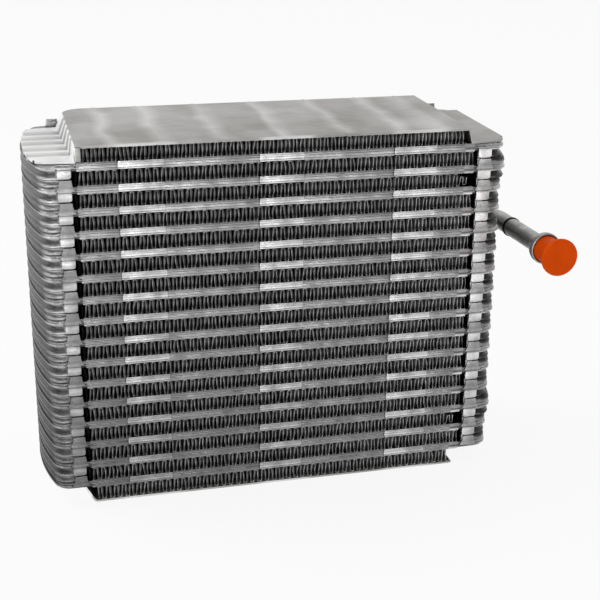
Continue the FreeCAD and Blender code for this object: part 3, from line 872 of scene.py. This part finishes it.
def plain_finish(name, colour, shade, roughness):
    """A matt moulded surface: faintly mottled colour over a fine grain."""
    finish = Finish(name, 0.0, roughness)
    mottle = finish.between(finish.cloud(90.0, 3.0), 0.3, 0.7)
    finish.put(finish.shader["Base Color"], finish.blend(mottle, colour, shade))
    grain = finish.add("Bump")
    finish.put(grain.inputs["Strength"], 0.15)
    finish.put(grain.inputs["Distance"], 0.0002)
    finish.put(grain.inputs["Height"], finish.cloud(900.0, 2.0))
    finish.put(finish.shader["Normal"], grain.outputs[0])
    finish.shader["Specular IOR Level"].default_value = 0.06
    return finish.material


black_rubber = plain_finish("black_rubber", (0.008, 0.008, 0.008), (0.012, 0.012, 0.012), 0.6)
band = draw_rings("rubber_band", flare_start, mouth_ward, [
    (band_front, 4.95), (band_front, 5.35), (band_front - 0.2, 5.45),
    (band_back + 0.2, 5.45), (band_back, 5.35), (band_back, 4.95)])
finish_turned(band, black_rubber)

# Inlet cap: an orange plastic plug, moulded in one piece with a wider round head. It is
# pushed in the pipe's mouth to keep dirt out on the way to the workshop.
orange_plastic = plain_finish("orange_plastic", (0.88, 0.09, 0.0), (0.78, 0.075, 0.0), 0.5)
inlet_cap = draw_rings("inlet_plug", flare_start, mouth_ward, [
    (5.6, 0.3), (5.6, 6.4), (6.0, 6.9), (8.6, 7.1), (21.9, 6.9), (22.3, 7.2), (22.4, 9.4),
    (22.7, 9.9), (23.2, 10.0), (24.2, 10.0), (24.7, 9.8), (24.95, 9.3), (25.0, 8.6),
    (24.8, 4.0), (24.75, 0.3)], sides=48)
finish_turned(inlet_cap, orange_plastic, closed=True)
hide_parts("inlet_cap")

# Outlet stub and its cap: a short end of the same tube, brazed low in the right tank's
# bowed end, behind the middle, and a smaller orange plug pushed in it.
outlet_gap = 12
outlet_start, outlet_ward = Vector((121.8, 22.0, gap_level(outlet_gap))), Vector((1, 0, 0))
outlet_pipe = draw_rings("outlet_tube", outlet_start, outlet_ward, [
    (6, 4.0), (17.6, 4.0), (18.0, 4.4), (17.6, 5.0), (9.0, 5.0), (5.6, 5.05), (4.9, 5.5),
    (4.2, 5.0), (1.0, 5.0)])
finish_turned(outlet_pipe, drawn_tube)
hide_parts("outlet_pipe")
outlet_cap = draw_rings("outlet_plug", outlet_start, outlet_ward, [
    (10.2, 0.3), (10.2, 3.5), (10.6, 3.85), (18.0, 3.95), (18.1, 6.9), (18.5, 7.45),
    (19.9, 7.5), (20.4, 7.2), (20.6, 6.6), (20.45, 3.0), (20.4, 0.3)], sides=40)
finish_turned(outlet_cap, orange_plastic, closed=True)
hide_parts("outlet_cap")

# Floor: a plain white table, which isn't the object's. What the camera sees of it glows,
# so that it stays white round the core's own soft shade.
floor_glow = 0.9
bpy.ops.object.select_all(action="DESELECT")
bpy.ops.mesh.primitive_plane_add(size=12)
floor = bpy.context.object
floor.name = "floor"


def seen_directly(mix):
    """1 for what the camera or a shiny or clear surface sees, 0 for what lights the core."""
    path = mix.add("LightPath")
    seen = path.outputs["Is Camera Ray"]
    for kind in ("Is Glossy Ray", "Is Transmission Ray"):
        seen = mix.reckon("MAXIMUM", seen, path.outputs[kind])
    return seen


table = Finish("white_table", 0.0, 0.9)
table.put(table.shader["Base Color"], (0.9, 0.9, 0.9))
table.put(table.shader["Specular IOR Level"], 0.0)
lift = table.add("MixShader")
table.put(lift.inputs[0], table.reckon("MULTIPLY", seen_directly(table), floor_glow))
table.put(lift.inputs[1], table.tree.nodes["Principled BSDF"].outputs[0])
table.put(lift.inputs[2], table.add("Emission").outputs[0])
table.put(table.tree.nodes["Material Output"].inputs["Surface"], lift.outputs[0])
floor.data.materials.append(table.material)


# Light: two soft studio lamps and a white room. The room is dimmer where it lights the
# core, and dimmest towards the upper front, which the tubes' faces mirror.
def soft_lamp(name, place, size, watts, aim=(0, 0, 0.1)):
    lamp = bpy.data.lights.new(name, "AREA")
    lamp.size, lamp.energy = size, watts
    holder = bpy.data.objects.new(name, lamp)
    bpy.context.scene.collection.objects.link(holder)
    holder.location = place
    holder.rotation_euler = (Vector(aim) - Vector(place)).to_track_quat("-Z", "Y").to_euler()


soft_lamp("front_lamp", (-0.35, -1.2, 0.12), 0.5, 3)
soft_lamp("upper_lamp", (-1.0, 0.4, 1.2), 0.7, 8)
world = bpy.data.worlds.new("studio")
bpy.context.scene.world = world
world.use_nodes = True
room = Nodes(world.node_tree)
heading = room.add("SeparateXYZ")
room.put(heading.inputs[0], room.add("TexCoord").outputs["Generated"])
upper_front = room.reckon("MULTIPLY", room.between(heading.outputs["Z"], 0.05, 0.45),
                          room.between(heading.outputs["Y"], 0.15, -0.45))
unseen = room.reckon("SUBTRACT", 1.0, room.add("LightPath").outputs["Is Camera Ray"])
dimmed = room.between(room.reckon("MULTIPLY", unseen, upper_front), 0.0, 1.0, 1.0, 0.25)
strength = room.between(seen_directly(room), 0.0, 1.0, 0.8, 1.0)
room.put(room.tree.nodes["Background"].inputs["Color"], (1, 1, 1))
room.put(room.tree.nodes["Background"].inputs["Strength"],
         room.reckon("MULTIPLY", strength, dimmed))
bpy.context.scene.view_settings.view_transform = "Standard"
